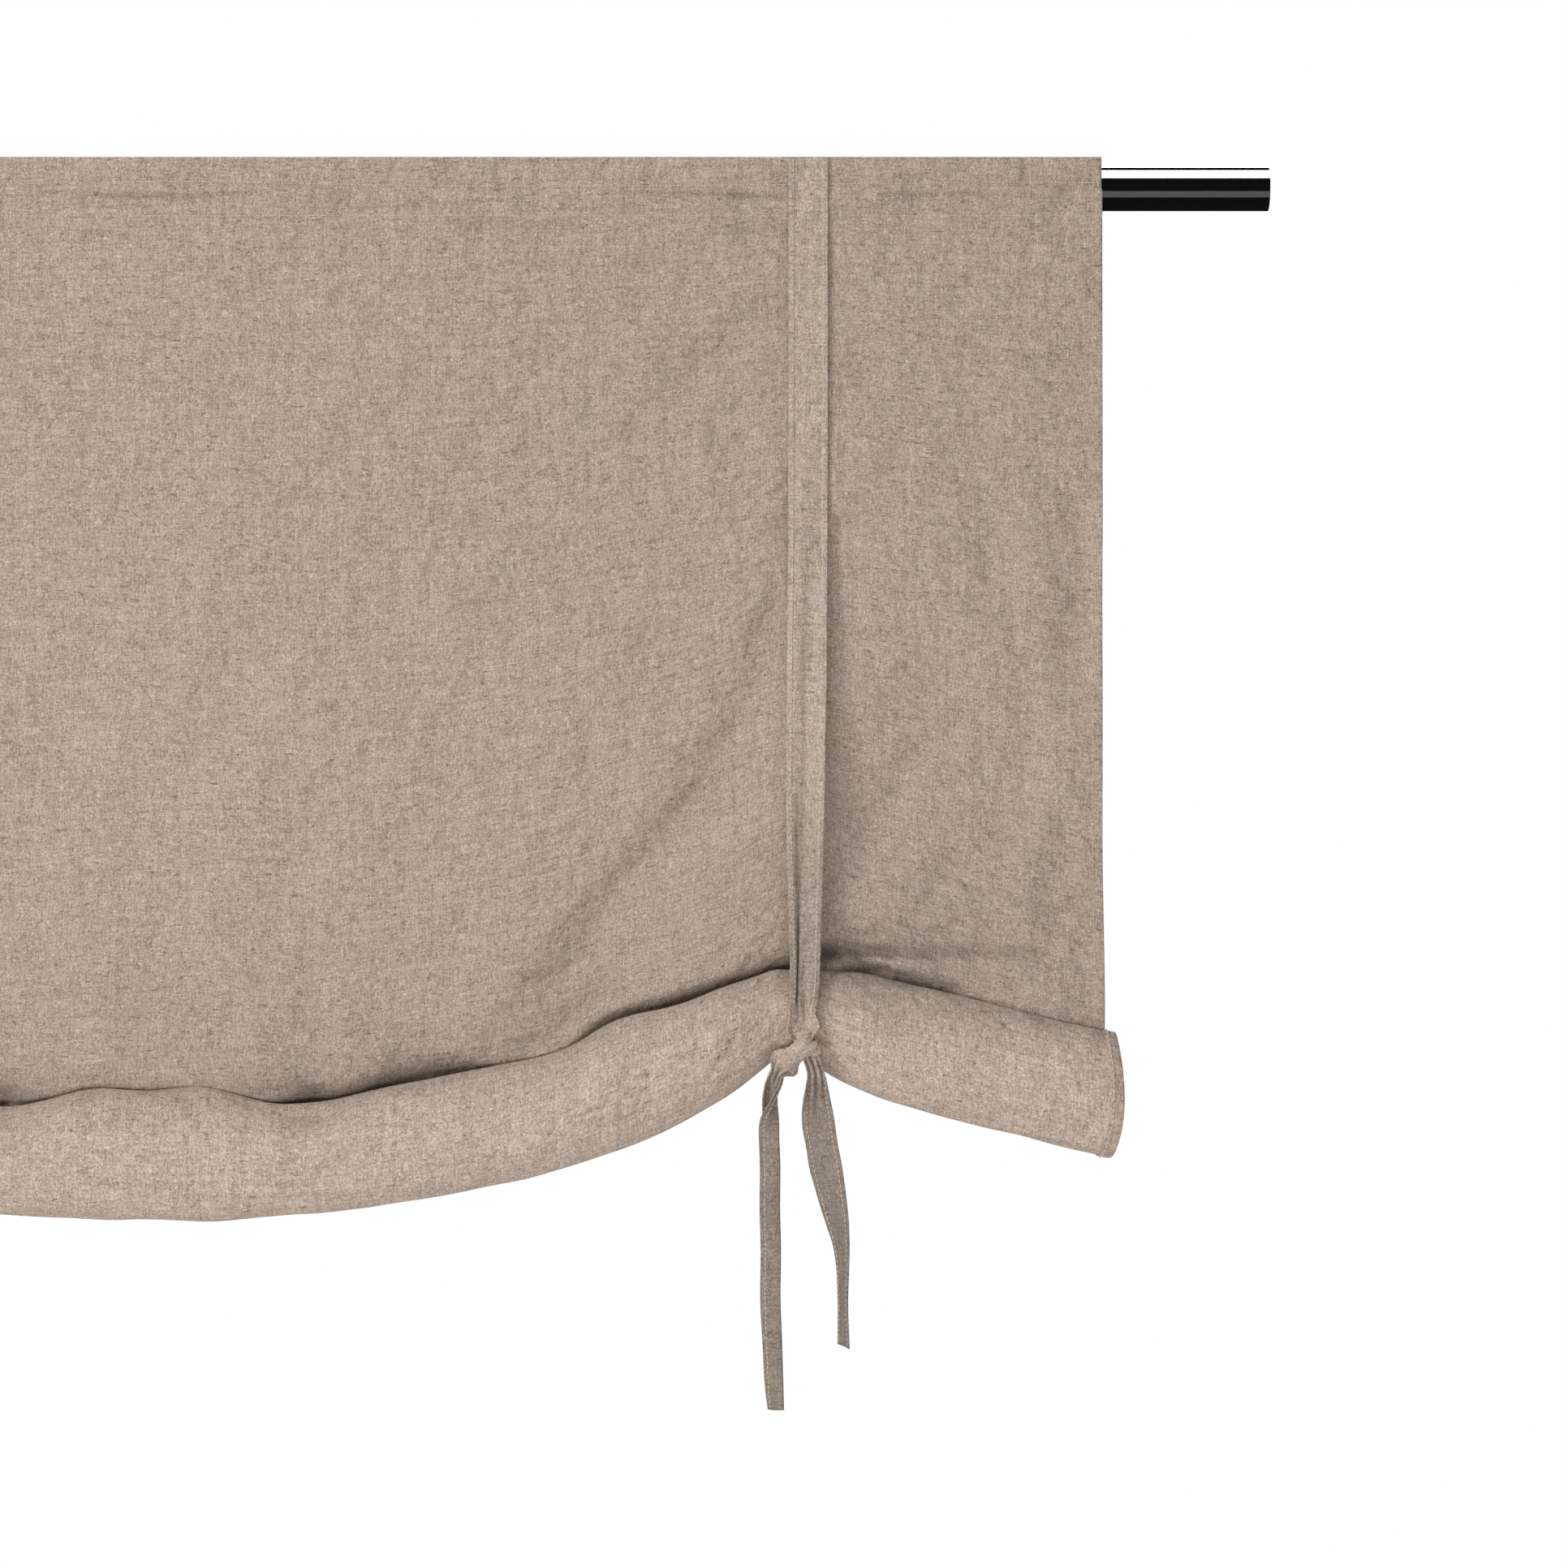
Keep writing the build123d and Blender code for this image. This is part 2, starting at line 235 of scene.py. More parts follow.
def linen(name, dark, warm, cool):
    # colour = from dark to light by the weave's tone, times the painted shade;
    # light = from cool to warm by the weave's warmth
    material = bpy.data.materials.new(name)
    material.use_nodes = True
    tree = material.node_tree
    new, link = tree.nodes.new, tree.links.new
    shader = tree.nodes["Principled BSDF"]
    uv = new("ShaderNodeUVMap")
    uv.uv_map = "cloth"
    threads = new("ShaderNodeGroup")
    threads.node_tree = weave
    threads.inputs["Contrast"].default_value = cloth["contrast"]
    link(uv.outputs[0], threads.inputs["Vector"])

    def mix(share, a, b, blend="MIX"):
        node = new("ShaderNodeMix")
        node.data_type = "RGBA"
        node.blend_type = blend
        sockets = node.inputs[0], node.inputs[6], node.inputs[7]  # the share and two colours
        for socket, value in zip(sockets, (share, a, b)):
            if isinstance(value, tuple):
                socket.default_value = (*value, 1)
            elif isinstance(value, (int, float)):
                socket.default_value = value
            else:
                link(value, socket)
        return node.outputs[2]

    light = mix(threads.outputs["Warmth"], cool, warm)
    colour = mix(threads.outputs["Tone"], dark, light)
    shade = new("ShaderNodeAttribute")  # painted shade on the mesh: creases and ribbon ends are darker
    shade.attribute_name = "shade"
    shaded = mix(1.0, colour, shade.outputs["Color"], "MULTIPLY")
    link(shaded, shader.inputs["Base Color"])

    def relief(source, strength, depth):
        node = new("ShaderNodeBump")
        node.inputs["Strength"].default_value = strength
        node.inputs["Distance"].default_value = depth
        link(source, node.inputs["Height"])
        return node

    woven = relief(threads.outputs["Height"], cloth["weaveBump"], cloth["weaveDepth"])
    crumple = new("ShaderNodeTexNoise")  # small wrinkles
    crumple.inputs["Scale"].default_value = cloth["crumpleScale"]
    crumple.inputs["Detail"].default_value = cloth["crumpleDetail"]
    crumple.inputs["Roughness"].default_value = cloth["crumpleRoughness"]
    link(uv.outputs[0], crumple.inputs["Vector"])
    wrinkled = relief(crumple.outputs[0], cloth["crumpleBump"], cloth["crumpleDepth"])
    link(woven.outputs[0], wrinkled.inputs["Normal"])
    link(wrinkled.outputs[0], shader.inputs["Normal"])
    shader.inputs["Roughness"].default_value = cloth["roughness"]
    shader.inputs["Specular IOR Level"].default_value = cloth["specular"]
    shader.inputs["Sheen Weight"].default_value = cloth["sheen"]
    shader.inputs["Sheen Roughness"].default_value = cloth["sheenRoughness"]
    return material


def plain(name, colour, roughness, specular=0.5, coat=0.0):
    material = bpy.data.materials.new(name)
    material.use_nodes = True
    shader = material.node_tree.nodes["Principled BSDF"]
    shader.inputs["Base Color"].default_value = (*colour, 1)
    shader.inputs["Roughness"].default_value = roughness
    shader.inputs["Specular IOR Level"].default_value = specular
    shader.inputs["Coat Weight"].default_value = coat
    shader.inputs["Coat Roughness"].default_value = 0.03
    shader.inputs["Coat IOR"].default_value = 2.3  # a coat that mirrors more than plain lacquer
    return material


# dark threads, then light ones: warm and cool
panelLinen = linen(
    "natural linen", (0.27, 0.20, 0.155), (0.74, 0.59, 0.47), (0.69, 0.58, 0.50)
)
# the cloth's reverse, outside on the roll, is a lighter copy of the linen: painted light on the
# roll
reverseLinenPaintedLighter = linen(
    "reverse of the linen, painted lighter", (0.31, 0.23, 0.18), (0.85, 0.675, 0.54), (0.79, 0.66, 0.565)
)
casingLinen = linen(
    "casing linen", (0.27, 0.20, 0.155), (0.74, 0.59, 0.47), (0.69, 0.58, 0.50)
)
tieLinen = linen(
    "tie linen", (0.30, 0.23, 0.18), (0.81, 0.655, 0.53), (0.765, 0.655, 0.565)
)
threadCotton = plain("sewing thread", (0.80, 0.70, 0.60), 0.8, specular=0.2)
blackEnamel = plain("black enamel", (0.003, 0.003, 0.003), 0.08, specular=1.0, coat=1.0)


sheet = {
    "halfWidth": 600.0,
    "sideHem": 8.0,  # of cloth, turned to the back
    "front": -15.5,  # y of the front layer
    "hemBack": -14.7,  # y of the turned top hem
    "hemEnd": -1.5,
    "bend": 17.7,  # height of the top fold
    "bendRadius": 0.4,
    "thickness": 0.7,
    "solidThickness": 0.8,  # of the CAD sheet: the roll's measures are taken outside it
    "pitch": 5.0,  # of the spiral
    "turns": 2.75,
    "depth": 44.0,
    "depthTied": 32.0,
    "tie": 409.4,
    "groove": 8.0,  # half the width of the tied part
    "pinch": 30.0,  # how far it takes to widen again
    "settle": 45.0,  # above the roll's middle the folds come in over this height
    "endPlaces": (470, 600),  # where the roll's end starts to stand out, and the edge
    "endTurns": (0.05, 0.35),
    "innerTurns": (0.8, 2.5),  # the inner turns stand out less
    "innerShare": 0.25,
    # the grid: ends of each stretch of columns or rows, and its number of points with both ends
    "columnStops": (0, 352, 470, 590),
    "rightColumns": (55, 40, 22),
    "leftColumns": (40, 26, 16),
    "edge": (590.0, 592.4, 594.3, 596.2, 598.1, 600.0),  # columns of the side hem
    "hemRows": 5,
    "dropStops": (0, 0.065, 0.6, 0.8, 1),  # shares of the hanging part
    "dropRows": (26, 40, 28, 54),
    "rollRows": (35, 29),  # of the first turn, and of the others
    # side hems and seams
    "hemLift": 0.84,  # the hem's distance behind the sheet
    "hemRadius": 0.4,
    "hemBend": 1.2,  # of cloth round the hem's bend
    "hemAngles": (np.pi * 0.3, np.pi * 0.7),
    "seamInset": 4.0,
    "seamPoints": 400,
    "lowSeam": -19.0,  # height
    "stitchedFrom": 12,  # row of the hanging part where the stitches of the side hems start
    "hemColumn": 3,  # counted from the edge
    # painted shade, as shares, with the turns, places or heights above the roll it lies between
    "creaseShade": 0.22,
    "creaseTurns": (0.5, 0.73),
    "underShade": 0.02,
    "underTurns": (0.28, 0.42),
    "gatherShade": 0.2,  # on the roll beside a tie
    "gatherPlace": (440, 42),
    "gatherTurns": (0.46, 0.6),
    "lowShade": 0.07,
    "lowHeights": (20, 160),
    "lowStart": (-2, 6),
    "hollowShade": 0.14,  # above the crease of the long scallop
    "hollowStart": (30, 75),
    "hollowStop": (215, 245),
    "hollowHeights": (8, 36),
    # lowest line of the roll: place along the rod, height
    "bottom": [
        (0, -655.0), (50, -654.0), (99, -650.6), (148, -644.8), (198, -636.7), (247, -625.6),
        (297, -609.8), (321, -599.5), (346, -587.2), (371, -571.6), (384, -561.6), (396, -552.5),
        (404, -550.2), (413, -551.5), (422, -561.0), (432, -567.5), (445, -573.2), (470, -581.9),
        (494, -589.5), (519, -596.7), (544, -602.8), (569, -608.5), (593, -613.1), (601, -614.7),
    ],
    # height of the roll
    "height": [
        (0, 82.0), (40, 82.0), (62, 76.0), (85, 70.0), (112, 68.5), (140, 72.0), (200, 74.0),
        (262, 76.0), (290, 83.0), (326, 78.0), (364, 70.0), (388, 60.0), (402, 54.5), (413, 57.0),
        (425, 67.0), (440, 73.0), (465, 77.0), (510, 80.0), (560, 78.0), (601, 78.0),
    ],
    # how far the roll's end stands out past the panel, by share of its height
    "lean": [(0.0, 5.0), (0.25, 9.5), (0.6, 10.5), (0.85, 8.5), (1.0, 6.5)],
}


def rollSize(x):  # centre, half height and half depth of the first turn at x
    s = sheet
    place = np.abs(x)
    height = through(s["height"], place)
    away = np.maximum(np.abs(place - s["tie"]) - s["groove"], 0)
    depth = s["depth"] - (s["depth"] - s["depthTied"]) * np.exp(-((away / s["pinch"]) ** 2))
    halfHeight = (height + s["pitch"] - s["solidThickness"]) / 2
    halfDepth = (depth + s["pitch"] / 2 - s["solidThickness"]) / 2
    centre = through(s["bottom"], place) + halfHeight - s["pitch"] / 4 + s["solidThickness"] / 2
    return centre, halfHeight, halfDepth


def rollPoint(x, turn, reach=0.0):  # a point of the flat spiral, moved outwards by reach
    centre, halfHeight, halfDepth = rollSize(x)
    angle = 2 * np.pi * turn
    a = halfHeight - sheet["pitch"] * turn
    b = halfDepth - sheet["pitch"] * turn
    y = sheet["front"] - halfDepth + b * np.cos(angle)
    z = centre - a * np.sin(angle)
    outY, outZ = a * np.cos(angle), -b * np.sin(angle)
    size = np.hypot(outY, outZ)
    return np.stack([x + 0 * y, y + reach * outY / size, z + reach * outZ / size], -1)


hanging = {
    # the bulge over the roll: place, mm forwards, and the heights above the roll between which
    # it turns in. Where these are low the sheet lies on the roll, elsewhere a crease is left.
    "overhang": [
        (0, 22.0, -14, -1), (60, 22.0, -14, -1), (84, 19.0, -8, 8), (98, 15.0, -5, 22),
        (120, 18.0, -8, 12), (145, 17.0, -5, 16), (185, 17.0, -5, 18), (212, 20.0, -9, 8),
        (240, 22.0, -14, -1), (262, 22.0, -14, 0), (278, 18.0, -5, 8), (310, 17.0, -5, 9),
        (360, 17.0, -5, 9), (400, 15.0, -5, 9), (425, 11.0, -5, 18), (448, 14.0, -5, 15),
        (475, 20.0, -6, 10), (505, 21.0, -9, 4), (530, 22.0, -14, -1), (601, 22.0, -14, -1),
    ],
    # the long drag fold from the tie: height, its place, its depth, its width towards the middle
    "valley": [
        (-570, 232.0, 11.0, 30), (-522, 253.0, 12.0, 25), (-459, 286.0, 11.5, 17),
        (-404, 331.0, 9.0, 14), (-349, 368.0, 8.5, 16), (-300, 386.0, 6.0, 14),
        (-231, 412.0, 3.2, 12), (-190, 430.0, 0.0, 12), (-150, 440.0, 0.0, 12),
    ],
    # single creases: from x, z to x, z, half width, depth towards the back
    "creases": [
        (420, -486, 442, -486, 7.0, 17.0), (440, -485, 466, -486, 5.0, 12.0),
        (462, -486, 496, -487, 3.8, 9.0), (490, -487, 530, -485, 3.4, 6.5),
        (526, -485, 566, -484, 3.2, 4.5), (424, -490, 462, -498, 5.0, 13.0),
        (460, -497, 506, -510, 3.6, 8.0), (446, -478, 462, -468, 3.4, 5.0),
        (470, -492, 484, -500, 3.2, 4.0), (429, -217, 447, -204, 3.2, 4.0),
        (402, -78, 326, -120, 7.0, 2.6), (319, -222, 400, -218, 4.5, 2.0),
        (584, -205, 588, -330, 12.0, 4.0), (201, -32, 271, -31, 2.4, 0.5),
        (515, -120, 545, -300, 14.0, 2.2), (150, -420, 205, -300, 20.0, 1.6),
        (60, -520, 92, -420, 14.0, 1.6), (118, -570, 160, -490, 8.0, 2.0),
        (330, -372, 382, -338, 7.0, 3.0), (338, -392, 372, -372, 4.0, 2.4),
        (300, -430, 330, -412, 5.0, 2.6), (306, -470, 345, -430, 6.0, 1.8),
        (452, -420, 478, -370, 10.0, 2.0), (232, -560, 268, -520, 6.0, 4.0),
        (212, -540, 240, -505, 7.0, 3.0), (476, -470, 500, -440, 5.0, 3.0),
    ],
    # and ridges, forwards
    "ridges": [
        (430, -456, 560, -452, 13.0, 3.0), (588, -330, 545, -462, 15.0, 4.0),
        (20, -300, 60, -180, 20.0, 1.6), (426, -11, 468, 7, 2.2, 1.3),
        (426, -17, 468, -8, 2.2, 1.1), (262, -530, 300, -470, 12.0, 2.5),
    ],
    # painted shade in the hollows beside the tie and under the heading's seam: from x, z to x, z,
    # half width, share of the light that is lost
    "hollows": [
        (412, -488, 432, -487, 6.0, 0.58), (432, -487, 468, -485, 4.6, 0.38),
        (468, -485, 509, -482, 5.0, 0.2), (509, -482, 562, -489, 4.5, 0.12),
        (440, -476, 512, -486, 18.0, 0.13), (440, -494, 509, -509, 5.0, 0.16),
        (0, -6.2, 30, -5.6, 1.7, 0.24), (30, -5.6, 74, -3.6, 1.4, 0.18),
        (285, -4.4, 329, -4.2, 1.6, 0.2), (329, -4.2, 396, -7.4, 1.8, 0.26),
        (190, -22, 267, -21.5, 2.4, 0.12), (354, -28, 394, -21.5, 3.0, 0.14),
        (395, -77, 330, -117, 8.0, 0.05), (470, -5.0, 560, -5.6, 1.5, 0.14),
        (120, -12, 168, -11, 1.8, 0.08),
    ],
    "clearance": 1.3,  # between the sheet and the roll's top
    "slack": ((3, 0, 8), (40, 4, 40)),  # room over the roll: mm, and the heights it comes in at
    "bulgeFade": (12, 125),  # heights above the roll
    "bulgeWander": (0.1, 14, 0, 6, (45, 150), (-5, 5)),  # a share
    "ribbon": 414.0,  # place of the front ribbon
    "lobe": 6.0,  # forwards behind the ribbon
    "lobeReach": 60,
    "lobeHeights": (-200, -360),
    "lobeFoot": (-5, 12),
    "valleyNear": 48,  # the drag fold's width towards the tie
    "valleyHeld": 0.8,  # its share that is lost behind the ribbon
    "valleyReach": 24,
    "clear": (-2, 12),  # heights above the roll between which folds come in
    "creaseClear": (-2, 8),
    # rows for waves
    "slow": (1.8, 5, 0.45, 6, (170, 420), (-25, 25)),
    "middling": (0.85, 8, 0.7, 6, (60, 120), (-60, 60)),
    "fine": (0.36, 11, 1, 10, (24, 60), (-85, 85)),
    "wavesForward": 1.4,
    "wavesHeights": (-30, -150),
    "wavesLeft": 0.2,  # share that stays on the roll
    "seamHeight": 0.8,
    "seamWander": (2.4, 41, 0, 4, (160, 520), (-3, 3)),
    "upperPucker": (0.5, 42, 0, 6, (30, 110), (-5, 5)),
    "lowerPucker": (0.6, 43, 0, 6, (25, 120), (-5, 5)),
    "puckerBase": 0.6,
    "puckerDepths": (1.5, 3.4, 1.8),  # over the seam, under it and under the lower seam
    "puckerGap": 6.5,  # from the seam
    "puckerReach": 4.2,
    "lowPucker": (-27, 5),  # height and reach
    "puckerOff": 20,  # no puckers this near to the ribbon
    "casingClear": (-28, -50),  # above, nothing moves back into the rod's casing
}


def seamHeight(x):  # the heading's stitch line wanders by a few mm
    return hanging["seamHeight"] + waves(hanging["seamWander"], x, 0 * x)


def strongest(rows, place, z):
    # the greatest of some soft strokes, each from x, z to x, z with a half width and a height
    most = 0 * (place + z)
    for x0, z0, x1, z1, width, height in rows:
        wayX, wayZ = x1 - x0, z1 - z0
        share = ((place - x0) * wayX + (z - z0) * wayZ) / (wayX**2 + wayZ**2)
        share = np.clip(share, 0, 1)
        gap = np.hypot(place - x0 - share * wayX, z - z0 - share * wayZ)
        most = np.maximum(most, height * bump(gap, 0, width))
    return most


def panelRelief(x, z):
    # The hanging part's distance behind its flat plane = the long drag fold + creases - ridges
    # + slow and fine waves - the bulge over the roll - a lobe behind the ribbon - puckers.
    h = hanging
    place = np.abs(x)
    above = z - through(sheet["bottom"], place) - through(sheet["height"], place)

    # the bulge turns in again at the crease, and never passes the roll's round top
    over = through(h["overhang"], place)
    free = smooth(over[..., 1], over[..., 2], above)
    relief = over[..., 0] * (1 + waves(h["bulgeWander"], x, z)) * free
    relief = relief * (1 - smooth(*h["bulgeFade"], above))
    halfHeight, halfDepth = rollSize(x)[1:]
    level = np.clip(1 + above / halfHeight, 0, 1)
    lying = halfDepth * (1 - np.sqrt(1 - level**2)) - h["clearance"]
    for room, low, high in h["slack"]:
        lying = lying + room * smooth(low, high, above)
    relief = -np.minimum(relief, lying)
    lobe = h["lobe"] * bump(place, h["ribbon"], h["lobeReach"])
    relief -= lobe * smooth(*h["lobeHeights"], z) * smooth(*h["lobeFoot"], above)

    # folds
    line = through(h["valley"], z)
    beside = place - line[..., 0]
    far, near = bump(beside, 0, line[..., 2]), bump(beside, 0, h["valleyNear"])
    valley = np.where(beside < 0, far, near) * line[..., 1]
    clear = smooth(*h["clear"], above)
    held = h["valleyHeld"] * bump(place, h["ribbon"], h["valleyReach"])
    relief += valley * (1 - held) * clear
    strokes = strongest(h["creases"], place, z) - strongest(h["ridges"], place, z)
    relief += strokes * smooth(*h["creaseClear"], above)
    slow = waves(h["slow"], x, z) + waves(h["middling"], x, z)
    swell = slow + waves(h["fine"], x, z) - h["wavesForward"]
    left = h["wavesLeft"] + (1 - h["wavesLeft"]) * clear
    relief += swell * smooth(*h["wavesHeights"], z) * left

    # puckers along the heading's seams
    seam = seamHeight(x)
    off = 1 - bump(place, h["ribbon"], h["puckerOff"])
    upper = np.maximum(h["puckerBase"] + waves(h["upperPucker"], x, z), 0)
    lower = np.maximum(h["puckerBase"] + waves(h["lowerPucker"], x, z), 0)
    first, second, third = h["puckerDepths"]
    relief -= first * upper * bump(z, seam + h["puckerGap"], h["puckerReach"]) * off
    relief -= second * lower * bump(z, seam - h["puckerGap"], h["puckerReach"]) * off
    relief -= third * lower * bump(z, *h["lowPucker"]) * off
    return np.minimum(relief, 0) + np.maximum(relief, 0) * smooth(*h["casingClear"], z)


rolled = {
    "around": 190.0,  # mm of cloth in a turn, about
    # gathers beside a tie: height, reach, folds to a turn, mm along x to a fold, phase
    "gathers": [(1.6, 36, 6.0, 190, 0.0), (1.2, 110, 3.1, -170, 0.2)],
    "folds": [
        (1.6, 21, 1, 7, (90, 260), (55, 125)),
        (0.8, 22, 1, 7, (40, 90), (20, 160)),
        (0.25, 23, 1, 9, (20, 45), (0, 180)),
    ],
    # dents: depth, place and reach along x, place and reach in turns
    "dents": [(8.0, 99, 17, 0.66, 0.055), (1.6, 66, 10, 0.6, 0.1)],
    "start": (0.06, 0.24),  # turns between which the creases come in
    "inside": (1.0, 1.3),  # and lose most of their height
    "insideLoss": 0.75,
}


def rollRelief(x, turn):
    # creases of the roll, in mm outwards = gathers beside the ties + soft folds - dents
    place = np.abs(x)
    gap = np.abs(place - sheet["tie"])
    gathers, folds, dents = 0, 0, 0
    for height, reach, count, run, phase in rolled["gathers"]:
        wave = np.sin(2 * np.pi * (turn * count + place / run + phase))
        gathers = gathers + height * np.exp(-gap / reach) * wave
    for row in rolled["folds"]:
        folds = folds + waves(row, x, turn * rolled["around"])
    for depth, middle, reach, centre, spread in rolled["dents"]:
        dents = dents - depth * bump(place, middle, reach) * bump(turn, centre, spread)
    relief = (gathers + folds + dents) * smooth(*rolled["start"], turn)
    return relief * (1 - rolled["insideLoss"] * smooth(*rolled["inside"], turn))


stitches = {
    # length, gap, radius of the thread, rise above the cloth
    "heading": (1.4, 0.8, 0.36, 0.4),
    "low seam": (1.6, 1.1, 0.16, 0.0),
    "side hem": (2.0, 0.9, 0.22, 0.22),
    "rolled hem": (2.5, 1.3, 0.4, 0.5),
    "casing": (2.0, 0.9, 0.22, 0.22),
    "tie": (2.2, 0.9, 0.27, 0.3),
}


def stitchLine(line, out, kind):
    # Short four-sided tubes along a line, each dipping into the cloth at its closed ends.
    # out is the way away from the cloth. Points = line + out * lift + ring * radius.
    length, gap, radius, rise = stitches[kind]
    run = np.concatenate([[0], np.cumsum(np.linalg.norm(np.diff(line, axis=0), axis=1))])
    starts = np.arange(gap, run[-1] - length, length + gap)
    shares = np.array([0, 0.25, 0.75, 1.0])  # places of the four rings along a stitch
    lift = np.array([-0.3, 1.0, 1.0, -0.3]) * rise
    s = starts[:, None] + shares[None, :] * length
    at = np.stack([np.interp(s, run, line[:, k]) for k in range(3)], -1)
    away = unit(np.stack([np.interp(s, run, out[:, k]) for k in range(3)], -1))
    along = unit(np.gradient(at, axis=1))
    side = unit(np.cross(along, away))
    at = at + away * lift[None, :, None]
    angles = np.pi / 4 + np.arange(4) * np.pi / 2
    across = side[:, :, None] * np.cos(angles)[:, None]
    ring = across + away[:, :, None] * np.sin(angles)[:, None]
    points = at[:, :, None] + ring * radius
    index = np.arange(len(starts) * 16).reshape(-1, 4, 4)  # stitch, ring, corner
    around = np.concatenate([index, index[:, :, :1]], 2)
    corners = around[:, :-1, :-1], around[:, 1:, :-1], around[:, 1:, 1:], around[:, :-1, 1:]
    quads = np.stack(corners, -1)
    caps = np.concatenate([index[:, 0], index[:, 3, ::-1]])
    return points.reshape(-1, 3), np.concatenate([quads.reshape(-1, 4), caps])


def threadPiece(name, parts):  # parts = points and faces of each line of stitches
    points, faces, start = [], [], 0
    for p, f in parts:
        points.append(p)
        faces.append(f + start)
        start += len(p)
    points = np.concatenate(points)
    uvs = points[:, [0, 2]] * mm
    piece = meshPiece(name, points, np.concatenate(faces), uvs, [threadCotton])
    return piece


def paintedPanelShade(x, z, turn, rows, frontStart):
    # painted shade: the share of the light that each point keeps = 1 - the painted shade of
    # creases, gathers on the roll, the low part of the sheet and the hollows
    s = sheet
    place = np.abs(x)
    tone = np.ones((rows, x.shape[1]))
    paintedDark = s["creaseShade"] * smooth(*s["creaseTurns"], turn)
    paintedDark = paintedDark + s["underShade"] * (1 - smooth(*s["underTurns"], turn))
    gathers = s["gatherShade"] * bump(place, *s["gatherPlace"])
    tone[frontStart + len(z):] -= paintedDark + gathers * smooth(*s["gatherTurns"], turn)
    above = z - through(s["bottom"], place) - through(s["height"], place)
    paintedDark = s["lowShade"] * (1 - smooth(*s["lowHeights"], above)) * smooth(*s["lowStart"], above)
    paintedDark = paintedDark + strongest(hanging["hollows"], place, z)
    hollow = s["hollowShade"] * smooth(*s["hollowStart"], place)
    hollow = hollow * (1 - smooth(*s["hollowStop"], place))
    paintedDark = paintedDark + hollow * (1 - smooth(*s["hollowHeights"], above))
    tone[frontStart:frontStart + len(z)] -= paintedDark
    return tone


